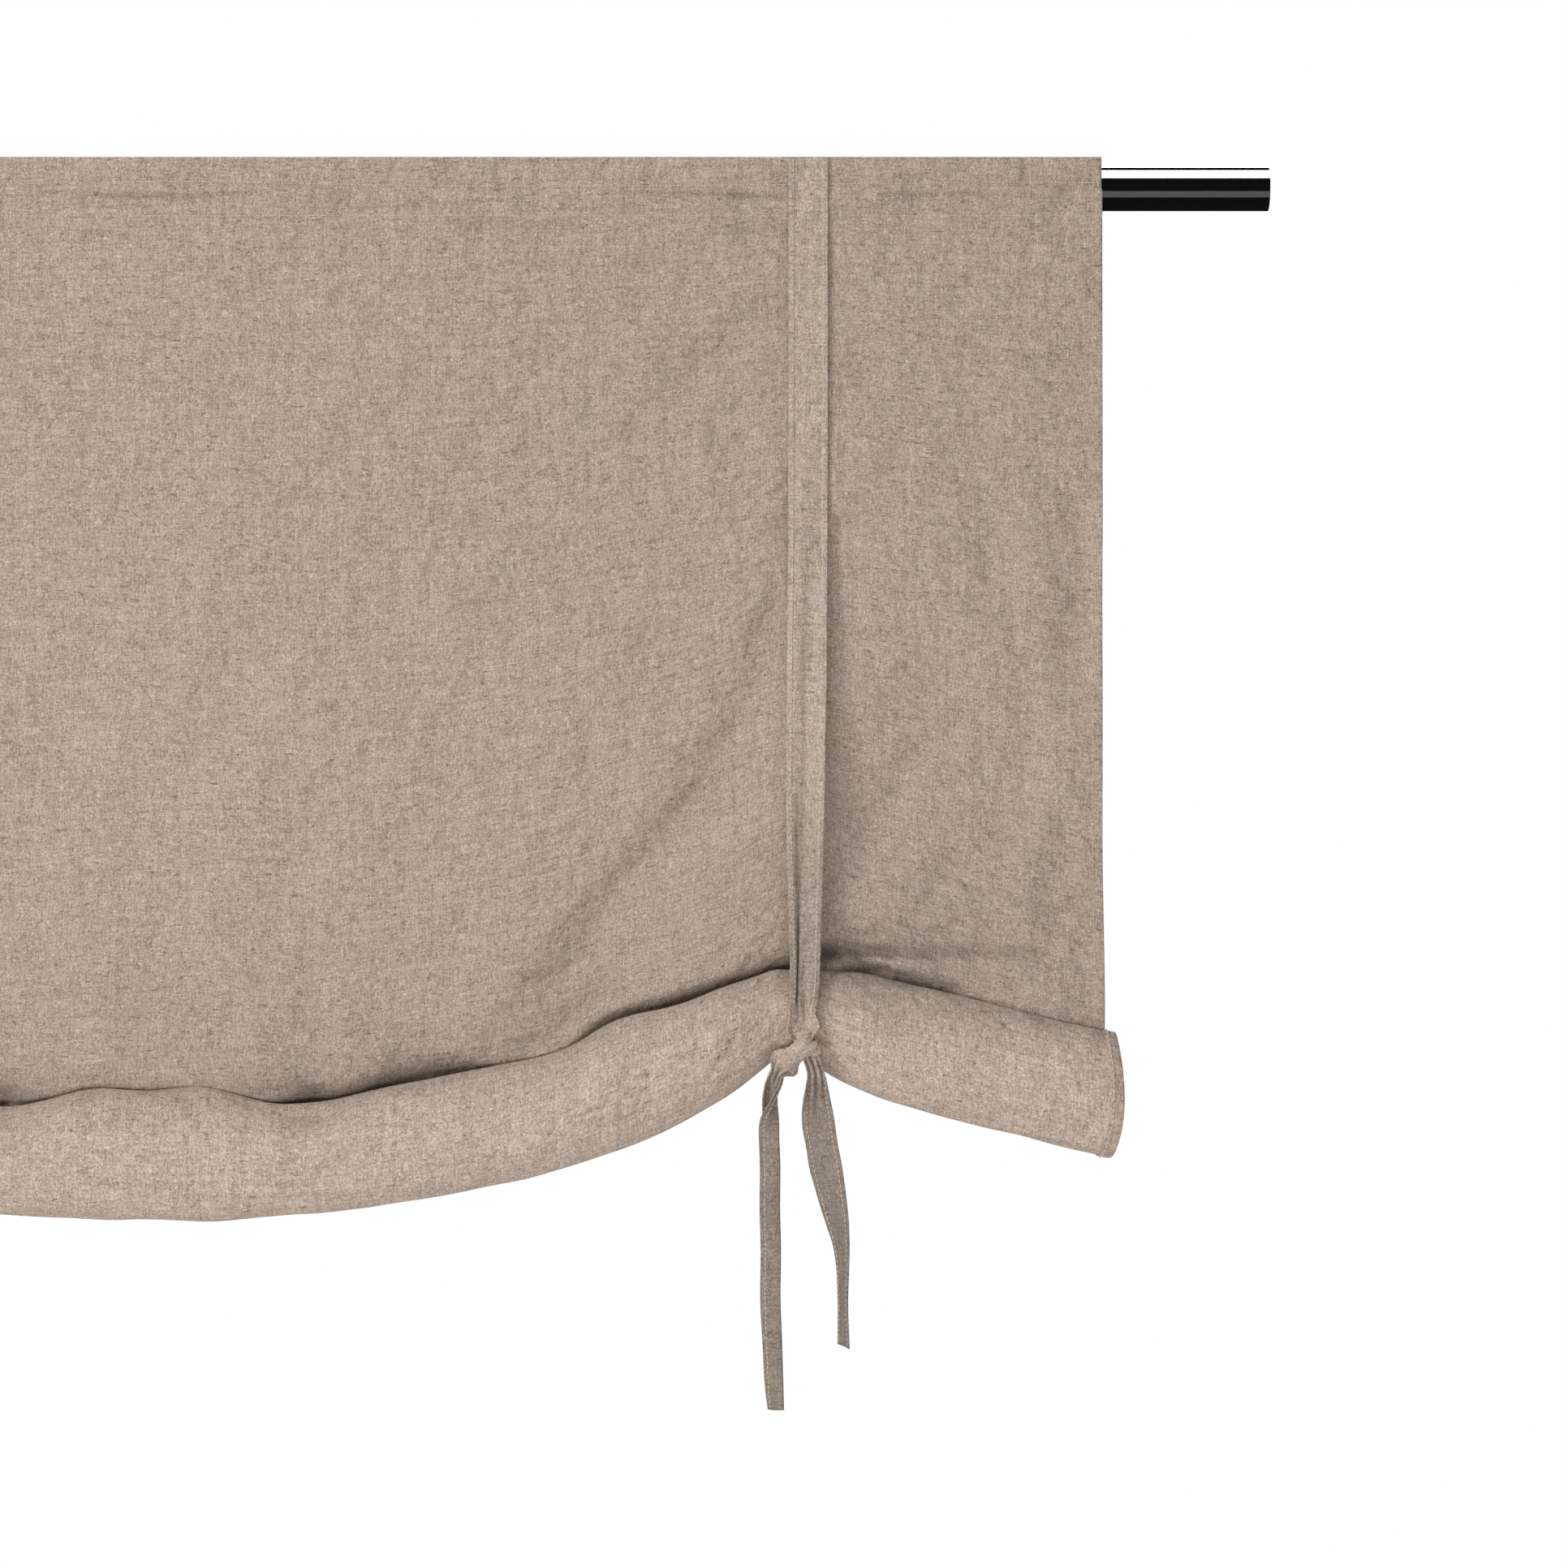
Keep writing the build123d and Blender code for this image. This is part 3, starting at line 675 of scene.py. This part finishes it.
def buildPanel():
    # Rows from the top hem's edge over the fold, down the front and round the spiral.
    # Front = flat plane + panelRelief, roll = rollPoint moved outwards by rollRelief.
    s = sheet
    right = np.concatenate([spaced(s["columnStops"], s["rightColumns"]), s["edge"]])
    left = np.concatenate([spaced(s["columnStops"], s["leftColumns"]), s["edge"]])
    x = np.concatenate([-left[:0:-1], right])[None, :]
    centre = rollSize(x)[0]
    hemZ = np.linspace(s["hemEnd"], s["bend"], s["hemRows"])[:-1, None]
    foldAngle = np.linspace(0, np.pi, s["hemRows"])[:-1, None]
    share = np.append(spaced(s["dropStops"], s["dropRows"]), 1.0)[:, None]
    turnStops = 0, 1, s["turns"]
    turn = np.append(spaced(turnStops, s["rollRows"])[1:], s["turns"])[:, None]

    one = np.ones_like(x)
    hemY = s["hemBack"] * one * np.ones_like(hemZ)
    hem = np.stack([x * np.ones_like(hemZ), hemY, hemZ * one], -1)
    foldY = (s["front"] + s["hemBack"]) / 2 + s["bendRadius"] * np.cos(foldAngle) * one
    foldZ = s["bend"] + s["bendRadius"] * np.sin(foldAngle) * one
    fold = np.stack([x * np.ones_like(foldAngle), foldY, foldZ], -1)
    z = s["bend"] + (centre - s["bend"]) * share
    settled = smooth(centre, centre + s["settle"], z)
    frontY = s["front"] + panelRelief(x, z) * settled
    front = np.stack([x * np.ones_like(share), frontY, z], -1)
    roll = rollPoint(x * np.ones_like(turn), turn * one, rollRelief(x, turn))
    # the end of the roll stands out to the side, the more the nearer the edge
    level = (roll[..., 2] - through(s["bottom"], np.abs(x))) / through(s["height"], np.abs(x))
    ends = smooth(*s["endPlaces"], np.abs(x)) * np.sign(x)
    lean = through(s["lean"], np.clip(level, 0, 1)) * ends * smooth(*s["endTurns"], turn)
    roll[..., 0] += lean * (1 - s["innerShare"] * smooth(*s["innerTurns"], turn))
    base = np.concatenate([hem, fold, front, roll])
    rows, columns = base.shape[:2]
    index = np.arange(rows * columns).reshape(rows, columns)
    drop = lengths(base)[:, columns // 2][:, None] * np.ones((1, columns))
    uv = np.stack([x * np.ones((rows, 1)), -drop], -1) * mm
    points, uvs, faces = [base.reshape(-1, 3)], [uv.reshape(-1, 2)], [gridFaces(index)]
    frontStart = len(hem) + len(fold)
    tone = paintedPanelShade(x, z, turn, rows, frontStart)
    shades = [tone.reshape(-1)]

    # side hems: the edge turns round to the back, a hair behind the sheet
    back = unit(np.cross(np.gradient(base, axis=1), np.gradient(base, axis=0)))
    first = frontStart + int(np.searchsorted(-z[:, -1], -s["hemEnd"]))
    start = rows * columns
    for side in (-1, 1):
        edge = columns - 1 if side == 1 else 0
        strip, stripUv = [], []
        for angle in s["hemAngles"]:
            out = np.array([side * s["hemRadius"] * np.sin(angle), 0, 0])
            behind = back[first:, edge] * (s["hemLift"] / 2) * (1 - np.cos(angle))
            strip.append(base[first:, edge] + out + behind)
            stripUv.append(uv[first:, edge] + [side * s["hemRadius"] * mm * angle, 0])
        bend = np.array([side * s["hemBend"] * mm, 0])
        for step in range(len(s["edge"]) - 1):
            column = edge - side * step
            strip.append(base[first:, column] + back[first:, column] * s["hemLift"])
            stripUv.append(uv[first:, edge] * 2 - uv[first:, column] + bend)
        strip = np.stack(strip, 1)
        numbers = start + np.arange(strip.shape[0] * strip.shape[1]).reshape(strip.shape[:2])
        quads = gridFaces(np.concatenate([index[first:, edge][:, None], numbers], 1))
        faces.append(quads if side == 1 else quads[:, ::-1])
        points.append(strip.reshape(-1, 3))
        shades.append(np.repeat(tone[first:, edge], strip.shape[1]))
        uvs.append(np.stack(stripUv, 1).reshape(-1, 2))
        start += numbers.size
    points, faces, uvs = np.concatenate(points), np.concatenate(faces), np.concatenate(uvs)
    piece = meshPiece(
        "linen_blind", points, faces, uvs, [reverseLinenPaintedLighter, panelLinen], ["blind_panel"],
        s["thickness"], np.concatenate(shades),
    )
    flat = (2 * s["halfWidth"] + 2 * s["sideHem"]) * mm, float(drop[-1, 0]) * mm
    say(f"the blind's flat size is {flat[0]:.3f} by {flat[1]:.3f} m")
    seams = blindSeams(base, back, frontStart, len(share))
    threads = threadPiece("blind_stitching", seams)


def blindSeams(base, back, start, rows):
    # the heading's two seams on the front, and the side hems' seams on the front of the sheet,
    # on its back and round the outside of the roll's first turn
    s = sheet
    half = s["thickness"] / 2
    end = s["halfWidth"] - s["seamInset"]
    x = np.linspace(-end, end, s["seamPoints"])
    lines = []
    for z, kind in ((seamHeight(x), "heading"), (0 * x + s["lowSeam"], "low seam")):
        line = np.stack([x, s["front"] + panelRelief(x, z) - half, z], -1)
        lines.append(stitchLine(line, np.array([0, -1.0, 0]) + 0 * line, kind))
    top = start + s["stitchedFrom"]
    turnRows = s["rollRows"][0] - 1
    for column in (s["hemColumn"], base.shape[1] - 1 - s["hemColumn"]):
        front = base[top:start + rows, column]
        way = back[top:start + rows, column]
        lines.append(stitchLine(front - way * half, -way, "side hem"))
        outside = base[top:start + rows + turnRows, column]
        way = back[top:start + rows + turnRows, column]
        lines.append(stitchLine(outside + way * (half + s["hemLift"]), way, "rolled hem"))
    return lines


buildPanel()


casing = {
    "halfLength": 590.5,
    "seamY": -13.85,  # sewn to the top hem
    "lowY": -14.65,  # sewn to the sheet
    "top": 17.7,
    "upperSeam": 16.0,
    "leaves": 14.1,  # heights where it leaves the sheet and comes back
    "returns": -17.0,
    "lowerSeam": -18.8,
    "foot": -20.6,
    "radius": 14.7,
    "thickness": 0.7,
    "arcPoints": 40,
    "columns": 150,
    "bulge": 0.35,
    "bulgeWaves": (0.35, 31, 0, 6, (30, 110), (-5, 5)),
    "bulgeReach": 14,  # in points of the profile
    "stitchLift": 0.5,
}


def buildCasing():
    # profile: down the heading, round the back of the rod at its radius and down again,
    # moved out from the rod by bulge + waves
    c = casing
    r = c["radius"]
    upper = np.arccos(r / np.hypot(c["leaves"], c["seamY"]))
    lower = np.arccos(r / np.hypot(c["returns"], c["lowY"]))
    start = np.arctan2(c["leaves"], c["seamY"]) - upper
    end = np.arctan2(c["returns"], c["lowY"]) + lower
    arc = np.linspace(start, end, c["arcPoints"])
    profile = np.concatenate([
        [(c["seamY"], c["top"]), (c["seamY"], c["upperSeam"]), (c["seamY"], c["leaves"])],
        np.stack([r * np.cos(arc), r * np.sin(arc)], -1),
        [(c["lowY"], c["returns"]), (c["lowY"], c["lowerSeam"]), (c["lowY"], c["foot"])],
    ])
    x = np.linspace(-c["halfLength"], c["halfLength"], c["columns"])
    reach = bump(np.arange(len(profile)), len(profile) / 2, c["bulgeReach"])[:, None]
    limit = c["bulge"]
    wave = (c["bulge"] + waves(c["bulgeWaves"], x, 0 * x).clip(-limit, limit))[None, :] * reach
    away = unit(profile)[:, None, :] * wave[..., None]
    side = np.sign(profile[:, None, :])
    yz = profile[:, None, :] + np.maximum(away * side, 0) * side
    points = np.concatenate([np.broadcast_to(x[None, :, None], yz.shape[:2] + (1,)), yz], -1)
    run = lengths(points)[:, :1] * np.ones((1, len(x)))
    uv = np.stack([np.broadcast_to(x, run.shape), run], -1) * mm
    index = np.arange(run.size).reshape(run.shape)
    piece = meshPiece(
        "rod_sleeve", points.reshape(-1, 3), gridFaces(index), uv.reshape(-1, 2),
        [casingLinen], ["rod_casing"], c["thickness"],
    )
    seams = []
    for row in (1, -2):  # the profile's upper and lower seam
        line = points[row] + [0, c["stitchLift"], 0]
        seams.append(stitchLine(line, np.array([0, 1.0, 0]) + 0 * line, "casing"))
    threads = threadPiece("rod_sleeve_stitching", seams)


buildCasing()


tie = {
    "width": 25.0,
    "thickness": 0.9,
    "seam": 3.2,  # width of the turned and stitched edges
    "seamRise": 0.7,  # how far the middle lies beside the edges
    "seamStep": (-0.4, 0.5),  # where it changes
    "places": (-8.0, -4.0, 0.0, 4.0, 8.0),  # lengthwise folds, across the ribbon
    "softness": 0.7,  # of the folds
    "step": 2.6,
    "columns": 57,
    "rollReach": 2.6,  # the back ribbon's distance outside the roll's middle line
    # painted shade, with the heights between which it comes in
    "tailShade": 0.61,  # share of the light that the tails keep
    "tailHeights": (-548, -575),
    "lowShade": 0.24,
    "lowHeights": (-340, -500),
    "knotShade": 0.2,  # given back at the knot
    "knotHeights": (-512, -530),
    "recessShade": 0.26,  # in the lengthwise fold above the knot
    "recess": (-2, 2.4),  # its place and half width, across the ribbon
    "recessTop": (-180, -330),
    "recessFoot": (-560, -540),
}


def foldedRibbon(stations):
    # stations: x, y, z, then the way its width lies (x, y, z), the heading of its left edge and
    # five fold angles. Each cross-section is a line of fixed length whose heading turns at the
    # folds, carried along the path.
    rows = np.array(stations, float)
    steps = np.linalg.norm(np.diff(rows[:, :3], axis=0), axis=1)
    chord = np.concatenate([[0], np.cumsum(steps)])
    count = int(chord[-1] / tie["step"]) + 1
    s = np.linspace(0, chord[-1], count)
    value = through(np.column_stack([chord, rows]), s)
    path = value[:, :3]
    along = unit(np.gradient(path, axis=0))
    across = unit(value[:, 3:6])
    across = unit(across - along * np.sum(across * along, -1, keepdims=True))
    towards = np.cross(along, across)
    t = np.linspace(-tie["width"] / 2, tie["width"] / 2, tie["columns"])
    heading = np.radians(value[:, 6])[:, None] + np.zeros((1, len(t)))
    for k, place in enumerate(tie["places"]):
        turned = 0.5 + 0.5 * np.tanh((t - place) / tie["softness"])
        heading = heading + np.radians(value[:, 7 + k])[:, None] * turned[None, :]
    step = t[1] - t[0]
    sidewards = np.cumsum(np.cos(heading), axis=1) * step
    forwards = np.cumsum(np.sin(heading), axis=1) * step
    sidewards -= sidewards.mean(axis=1, keepdims=True)
    forwards -= forwards.mean(axis=1, keepdims=True)
    wide = path[:, None] + across[:, None] * sidewards[..., None]
    points = wide + towards[:, None] * forwards[..., None]
    normal = unit(np.cross(np.gradient(points, axis=0), np.gradient(points, axis=1)))
    inner = tie["width"] / 2 - tie["seam"]
    low, high = tie["seamStep"]
    ridge = tie["seamRise"] * smooth(inner + low, inner + high, np.abs(t))
    points = points + normal * ridge[None, :, None]
    uv = np.stack([t[None, :] + 0 * sidewards, s[:, None] + 0 * sidewards], -1) * mm
    return points, normal, uv, s


def mirrored(points):
    return points * np.array([-1.0, 1, 1])


def buildTie(label, stations, side, node, recess):
    points, normal, uv, s = foldedRibbon(stations)
    if side == -1:
        points, normal = mirrored(points), mirrored(normal)
    index = np.arange(points.shape[0] * points.shape[1]).reshape(points.shape[:2])
    z = points[..., 2]
    # painted shade: kept light = 1 - tails - the part above the knot + the knot - the lengthwise
    # fold
    shade = 1 - (1 - tie["tailShade"]) * smooth(*tie["tailHeights"], z)
    shade = shade - tie["lowShade"] * smooth(*tie["lowHeights"], z)
    shade = shade + tie["knotShade"] * smooth(*tie["knotHeights"], z)
    fold = recess * bump(uv[..., 0] / mm, *tie["recess"])
    shade = shade - fold * smooth(*tie["recessTop"], z) * smooth(*tie["recessFoot"], z)
    piece = meshPiece(
        label, points.reshape(-1, 3), gridFaces(index), uv.reshape(-1, 2), [tieLinen], [node],
        tie["thickness"], shade.reshape(-1),
    )
    # topstitching along both edges, on both faces
    lines = []
    t = uv[0, :, 0] / mm
    for place in (-1, 1):
        column = int(np.argmin(np.abs(t - place * (tie["width"] / 2 - tie["seam"]))))
        for face in (-1, 1):
            line = points[:, column] + face * normal[:, column] * (tie["thickness"] / 2)
            lines.append(stitchLine(line, face * normal[:, column], "tie"))
    thread = threadPiece(label + "_thread", lines)


sideways = (1.0, 0.0, 0.0)  # the width lies along the rod
flatCut = (0, 0, 0, 0, 0, 0)  # no folds
frontStations = [
    (414.0, -16.9, 17.7, *sideways, *flatCut),
    (414.0, -16.9, 8.0, *sideways, *flatCut),
    (414.0, -16.9, -2.0, *sideways, *flatCut),
    (414.0, -17.6, -16.0, *sideways, 2, -2, -2, 0, 0, 2),
    (414.0, -18.6, -120.0, *sideways, 6, -6, -4, 0, 2, 2),
    (413.8, -20.2, -210.0, *sideways, 12, -16, -6, -4, 6, 4),
    (413.2, -29.0, -290.0, *sideways, 16, -26, 4, 0, 0, 0),
    (412.4, -38.0, -360.0, *sideways, 10, -34, 35, 6, -10, 0),
    (411.4, -45.0, -420.0, *sideways, 0, -54, 96, -44, 2, -6),
    (410.8, -49.2, -470.0, *sideways, -10, -70, 150, -76, 4, -10),
    (410.4, -51.2, -498.0, *sideways, -20, -74, 170, -90, 10, -20),
    (409.8, -52.0, -513.0, *sideways, -26, -66, 168, -106, 64, -50),
    (409.4, -52.6, -526.0, *sideways, -60, 40, 96, -120, 120, -90),
    (411.0, -52.6, -540.0, *sideways, -74, 148, -148, 148, -148, 148),
    (415.4, -52.0, -551.0, *sideways, -78, 156, -156, 156, -156, 154),
    (418.3, -51.4, -560.0, *sideways, -76, 152, -152, 152, -152, 148),
    (419.2, -50.8, -570.0, 0.97, -0.24, 0, -66, 132, -134, 134, -126, 110),
    (419.2, -50.5, -580.0, 0.93, -0.36, 0, -50, 104, -110, 110, -90, 60),
    (420.6, -50.5, -594.0, 0.84, -0.54, 0, -16, 40, -54, 54, -40, 18),
    (422.9, -50.5, -606.5, 0.82, -0.57, 0, -6, 20, -26, 28, -22, 12),
    (425.0, -50.5, -618.5, 0.84, -0.54, 0, -4, 14, -18, 22, -18, 10),
    (427.7, -50.5, -631.0, 0.78, -0.63, 0, -2, 10, -14, 18, -16, 10),
    (430.2, -50.5, -643.0, 0.71, -0.70, 0, 0, 8, -12, 16, -14, 8),
    (432.7, -50.5, -655.5, 0.60, -0.80, 0, 2, 6, -10, 12, -12, 6),
    (434.9, -50.5, -668.0, 0.47, -0.88, 0, 4, 4, -8, 10, -10, 6),
    (435.8, -50.5, -680.0, 0.36, -0.93, 0, 4, 2, -6, 8, -8, 4),
    (436.0, -50.5, -704.5, 0.25, -0.97, 0, 4, 0, -6, 6, -6, 4),
    (436.5, -50.5, -732.0, 0.29, -0.96, 0, 4, 0, -6, 6, -6, 4),
]


def aroundRoll(turn, cut):  # a station outside the roll's first turn
    point = rollPoint(np.array(sheet["tie"]), np.array(turn), np.array(tie["rollReach"]))
    return (*point.tolist(), *sideways, *cut)


pleated = (-50, 100, -100, 100, -100, 100)
squeezed = (-62, 124, -124, 124, -124, 124)
pinched = (-76, 152, -152, 152, -152, 152)
domed = (118, -58, -46, -28, -46, -60)
slanted = (0.62, 0.0, -0.78)
backStations = [
    (414.0, -14.1, -20.9, *sideways, *flatCut),
    (414.0, -14.1, -33.0, *sideways, *flatCut),
    (414.0, -13.4, -60.0, *sideways, 0, 4, 4, -4, -4, 0),
    (414.0, -12.8, -240.0, *sideways, -8, 8, 4, 4, 0, 0),
    (414.0, -12.8, -430.0, *sideways, -10, 10, 10, 6, -6, 0),
    (411.5, -12.8, -480.0, *sideways, -30, 60, -60, 60, -60, 60),
    aroundRoll(0.02, pleated),
    aroundRoll(0.10, pleated),
    aroundRoll(0.18, pleated),
    aroundRoll(0.25, pleated),
    aroundRoll(0.32, pleated),
    (411.0, -48.6, -547.0, 0.9, 0.0, -0.4, *squeezed),
    (414.6, -49.2, -542.0, *slanted, *pinched),
    (417.0, -52.8, -539.8, *slanted, *pinched),
    (414.8, -56.2, -541.2, *slanted, 30, 30, -60, 30, -90, 20),
    (410.2, -57.6, -544.8, *slanted, *domed),
    (404.4, -57.6, -549.8, *slanted, *domed),
    (399.0, -56.2, -554.6, 0.66, 0.0, -0.75, 30, 30, -70, 40, -90, 20),
    (395.2, -54.4, -559.2, 0.84, 0.0, -0.54, *pinched),
    (392.2, -52.4, -569.0, 0.98, -0.1, 0, -66, 120, -40, 120, -140, 110),
    (390.8, -51.6, -580.0, 0.99, -0.1, 0, -36, 60, 20, 90, -60, 50),
    (390.0, -51.0, -595.0, 0.97, -0.2, 0, -12, 16, 44, 104, 6, 6),
    (390.6, -51.0, -620.0, 0.95, -0.3, 0, -4, 10, 30, 118, 14, 0),
    (390.4, -51.0, -645.0, 0.93, -0.36, 0, -8, 10, 30, 118, 14, 0),
    (391.2, -51.0, -672.0, 0.92, -0.39, 0, -2, 6, 34, 118, 14, 0),
    (390.8, -51.0, -700.0, 0.90, -0.43, 0, -8, 10, 30, 120, 14, 0),
    (392.2, -51.0, -730.0, 0.84, -0.54, 0, -4, 8, 30, 122, 14, 0),
    (393.4, -51.0, -756.0, 0.70, -0.71, 0, -6, 6, 30, 122, 14, 0),
    (394.6, -51.0, -771.5, 0.50, -0.86, 0, -6, 6, 30, 122, 14, 0),
]

for side, name in ((1, "right"), (-1, "left")):
    buildTie(f"{name}_front_ribbon", frontStations, side, f"{name}_front_tie", tie["recessShade"])
    buildTie(f"{name}_back_ribbon", backStations, side, f"{name}_back_tie", 0.0)


rod = nodes["curtain_rod"]
rod.data.materials.clear()
rod.data.materials.append(blackEnamel)


studio = {
    "floorHeight": -1.3,
    "floorCorners": ((-2.2, -3.2), (3.0, -3.2), (3.0, 1.9), (-2.2, 1.9)),
    "camera": (0.3986, -2.7795, -0.3796),
    "lens": 100.0,
    "ambient": 0.10,
    "darkSurround": 0.012,  # what the glossy rod mirrors beside the lamps
    # watts of each lamp
    "key": 51.0,
    "top": 59.0,
    "highlight": 190.0,  # for reflections only
    "sill": 14.4,
    "low": 4.0,
    "back": 42.0,  # for the view from behind
}

floorMesh = bpy.data.meshes.new("floor")
floorMesh.from_pydata(
    [(*corner, studio["floorHeight"]) for corner in studio["floorCorners"]], [], [(0, 1, 2, 3)]
)
floor = bpy.data.objects.new("floor", floorMesh)
bpy.context.scene.collection.objects.link(floor)
floorMesh.materials.append(plain("white floor", (0.8, 0.8, 0.8), 0.8))
floor.visible_glossy = False  # the rod mirrors a dark room, as in the photograph

world = bpy.data.worlds.new("studio")
bpy.context.scene.world = world
world.use_nodes = True
tree = world.node_tree
tree.nodes.clear()


def background(strength):
    node = tree.nodes.new("ShaderNodeBackground")
    node.inputs["Color"].default_value = (1, 1, 1, 1)
    node.inputs["Strength"].default_value = strength
    return node.outputs[0]


def choose(share, usual, chosen):
    node = tree.nodes.new("ShaderNodeMixShader")
    for socket, value in zip(node.inputs, (share, usual, chosen)):
        tree.links.new(value, socket)
    return node.outputs[0]


# white behind the object for the camera, dark for the rod's reflections, dim for the light
rays = tree.nodes.new("ShaderNodeLightPath").outputs
dim, dark = background(studio["ambient"]), background(studio["darkSurround"])
lit = choose(rays["Is Glossy Ray"], dim, dark)
seen = choose(rays["Is Camera Ray"], lit, background(1.0))
tree.links.new(seen, tree.nodes.new("ShaderNodeOutputWorld").inputs[0])


def softbox(name, place, target, width, height, watts, mirrored=True, lights=True):
    # mirrored: reflections show it; lights: it lights matt surfaces
    lamp = bpy.data.lights.new(name, "AREA")
    lamp.shape = "RECTANGLE"
    lamp.size = width
    lamp.size_y = height
    lamp.energy = watts
    light = bpy.data.objects.new(name, lamp)
    bpy.context.scene.collection.objects.link(light)
    light.location = place
    way = np.array(target, float) - np.array(place, float)
    light.rotation_euler = Vector(way).to_track_quat("-Z", "Y").to_euler()
    light.visible_camera = False
    light.visible_glossy = mirrored
    light.visible_diffuse = lights


overhead, underneath = (0.4, -0.65, 3.0), (0.4, -0.65, 0.0)
justUnder = (0.4, -0.65, 2.95)  # the highlight hangs under the top lamp, which would hide it
softbox("key softbox", (-2.3, -2.3, 1.1), (0.3, 0, -0.35), 1.1, 1.1, studio["key"])
softbox("top softbox", overhead, underneath, 4.0, 3.4, studio["top"], mirrored=False)
softbox(
    "highlight softbox", justUnder, underneath, 4.0, 3.4, studio["highlight"], lights=False
)
softbox(
    "sill softbox", (0.2, -2.1, -0.9), (0.35, 0, -0.55), 2.4, 0.3, studio["sill"], mirrored=False
)
softbox("back softbox", (1.4, 2.6, 0.9), (0.0, 0, -0.35), 1.6, 1.6, studio["back"])
softbox("low softbox", (0.5, -1.6, -1.02), (0.5, -0.9, 0.0), 3.0, 1.2, studio["low"])

lens = bpy.data.cameras.new("camera")
lens.lens = studio["lens"]
lens.sensor_width = 36.0
camera = bpy.data.objects.new("camera", lens)
bpy.context.scene.collection.objects.link(camera)
camera.location = studio["camera"]
camera.rotation_euler = (np.pi / 2, 0, 0)
bpy.context.scene.camera = camera
bpy.context.scene.view_settings.view_transform = "Standard"
say("studio ready")
